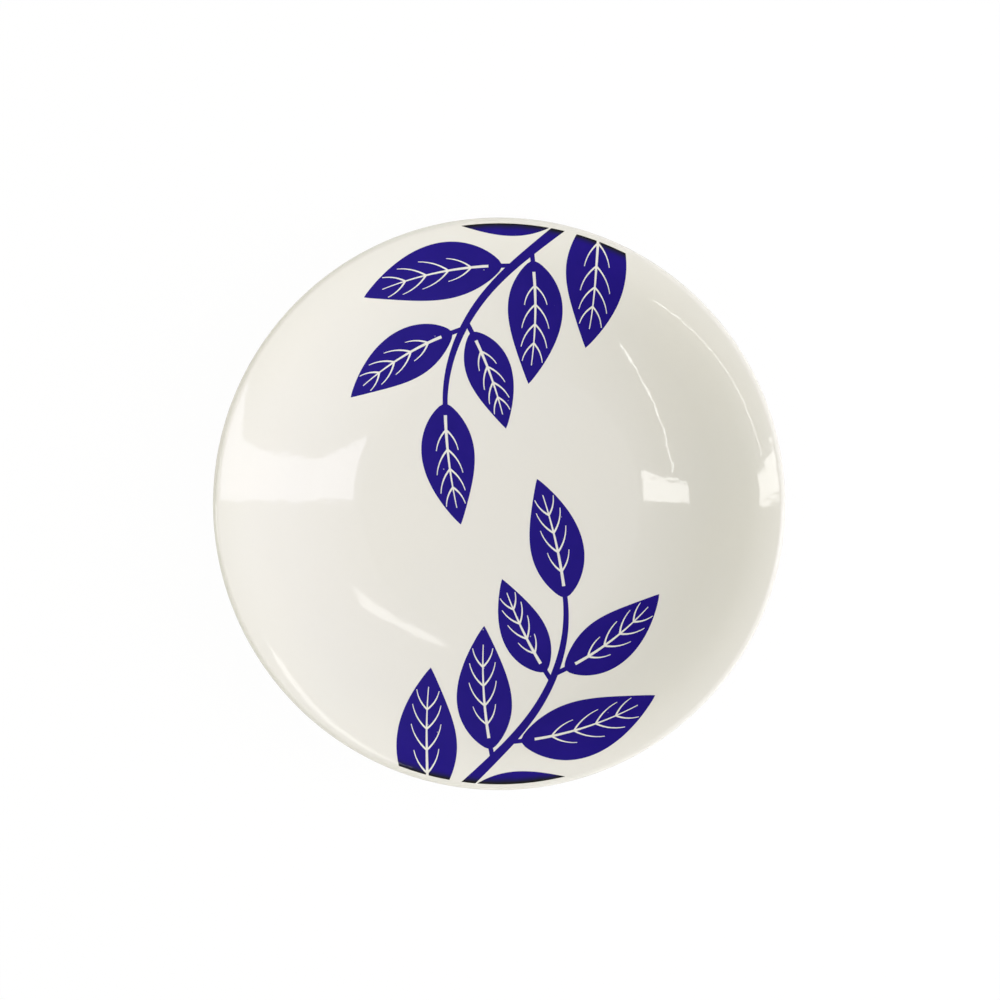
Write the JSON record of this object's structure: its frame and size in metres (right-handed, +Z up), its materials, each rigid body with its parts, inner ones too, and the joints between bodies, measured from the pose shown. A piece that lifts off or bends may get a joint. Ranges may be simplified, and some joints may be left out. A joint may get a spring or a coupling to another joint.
{
  "type": "small plate",
  "caption": "Small round plate in glazed white porcelain with a blue printed leaf decoration, a nearly level floor, a curved wall with a flared, rounded lip and a bare foot ring to stand on.",
  "frame": {"origin": "middle of the circle that the foot ring stands on, on the surface under the plate", "axes": "+Z up, out of the well, along the axis that the plate was turned on; X and Y are any two directions across the plate"},
  "size_m": [0.15, 0.15, 0.0295],
  "materials": {
    "porcelain": "matte",
    "glaze": "gloss",
    "cobalt_print": "gloss"
  },
  "bodies": {
    "root": {"porcelain_body": "porcelain", "glaze_coat": "glaze", "glaze_foot_recess": "glaze"}
  },
  "joints": []
}
